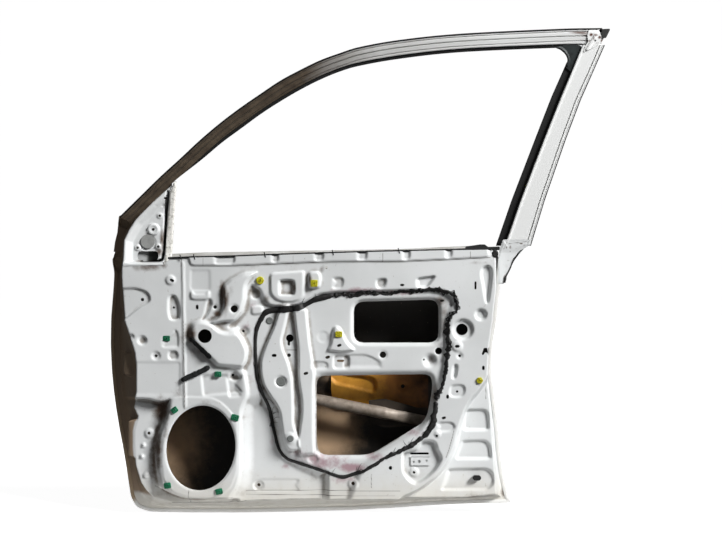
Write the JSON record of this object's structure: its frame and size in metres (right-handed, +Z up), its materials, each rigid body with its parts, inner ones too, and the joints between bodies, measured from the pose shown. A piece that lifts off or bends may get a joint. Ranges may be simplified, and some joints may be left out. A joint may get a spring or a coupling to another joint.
{
  "type": "car door shell",
  "caption": "Stripped sheet-metal shell of a right-hand front car door: pressed inner panel with speaker and service holes, outer skin, window frame and mirror patch.",
  "frame": {"origin": "centre of the upper hinge seat on the front wall of the inner panel", "axes": "+X to the rear of the car, +Y outwards through the skin, +Z up"},
  "size_m": [1.206, 0.1819, 1.168],
  "materials": {
    "door_paint": "thin grey-white body paint, dusty and stained",
    "frame_primer": "weathered dark primer that turns to thin grey paint towards the rear",
    "inner_primer": "dark cavity primer",
    "grey_rail": "worn light grey coat",
    "bare_steel": "dull uncoated steel",
    "orange_coat": "yellow-orange overspray, fading to rust brown",
    "rubber": "black, matt",
    "foam": "black open foam",
    "butyl": "black sticky sealer",
    "green_plastic": "moulded plastic",
    "yellow_plastic": "moulded plastic",
    "plug_plastic": "grey moulded plastic"
  },
  "bodies": {
    "root": {"inner_panel": "door_paint", "outer_panel": "door_paint", "mirror_patch": "door_paint", "outer_mirror_patch": "door_paint", "front_window_post": "door_paint", "rear_sash": "door_paint", "sash_foot": "door_paint", "header_sash": "frame_primer", "inner_belt_reinforcement": "inner_primer", "outer_belt_reinforcement": "inner_primer", "beam_bracket_front": "inner_primer", "beam_bracket_rear": "inner_primer", "upper_hinge_plate": "inner_primer", "check_strap_plate": "inner_primer", "lower_hinge_plate": "inner_primer", "latch_plate": "inner_primer", "outer_belt_strip": "grey_rail", "impact_beam_tube": "bare_steel", "lower_bracket_plate": "bare_steel", "skin_stiffener": "orange_coat", "glass_run_header": "rubber", "glass_run_rear": "rubber", "glass_run_corner": "rubber", "sash_end_cap": "rubber", "rubber_bumper": "rubber", "foam_strip_upper": "foam", "foam_strip_lower": "foam", "butyl_lower": "butyl", "butyl_upper": "butyl", "green_clip_1": "green_plastic", "green_clip_2": "green_plastic", "green_clip_3": "green_plastic", "green_clip_4": "green_plastic", "green_clip_5": "green_plastic", "green_clip_6": "green_plastic", "yellow_clip_1": "yellow_plastic", "yellow_clip_2": "yellow_plastic", "yellow_clip_3": "yellow_plastic", "yellow_clip_4": "yellow_plastic", "mirror_patch_plug": "plug_plastic", "panel_plug": "plug_plastic"}
  },
  "joints": []
}
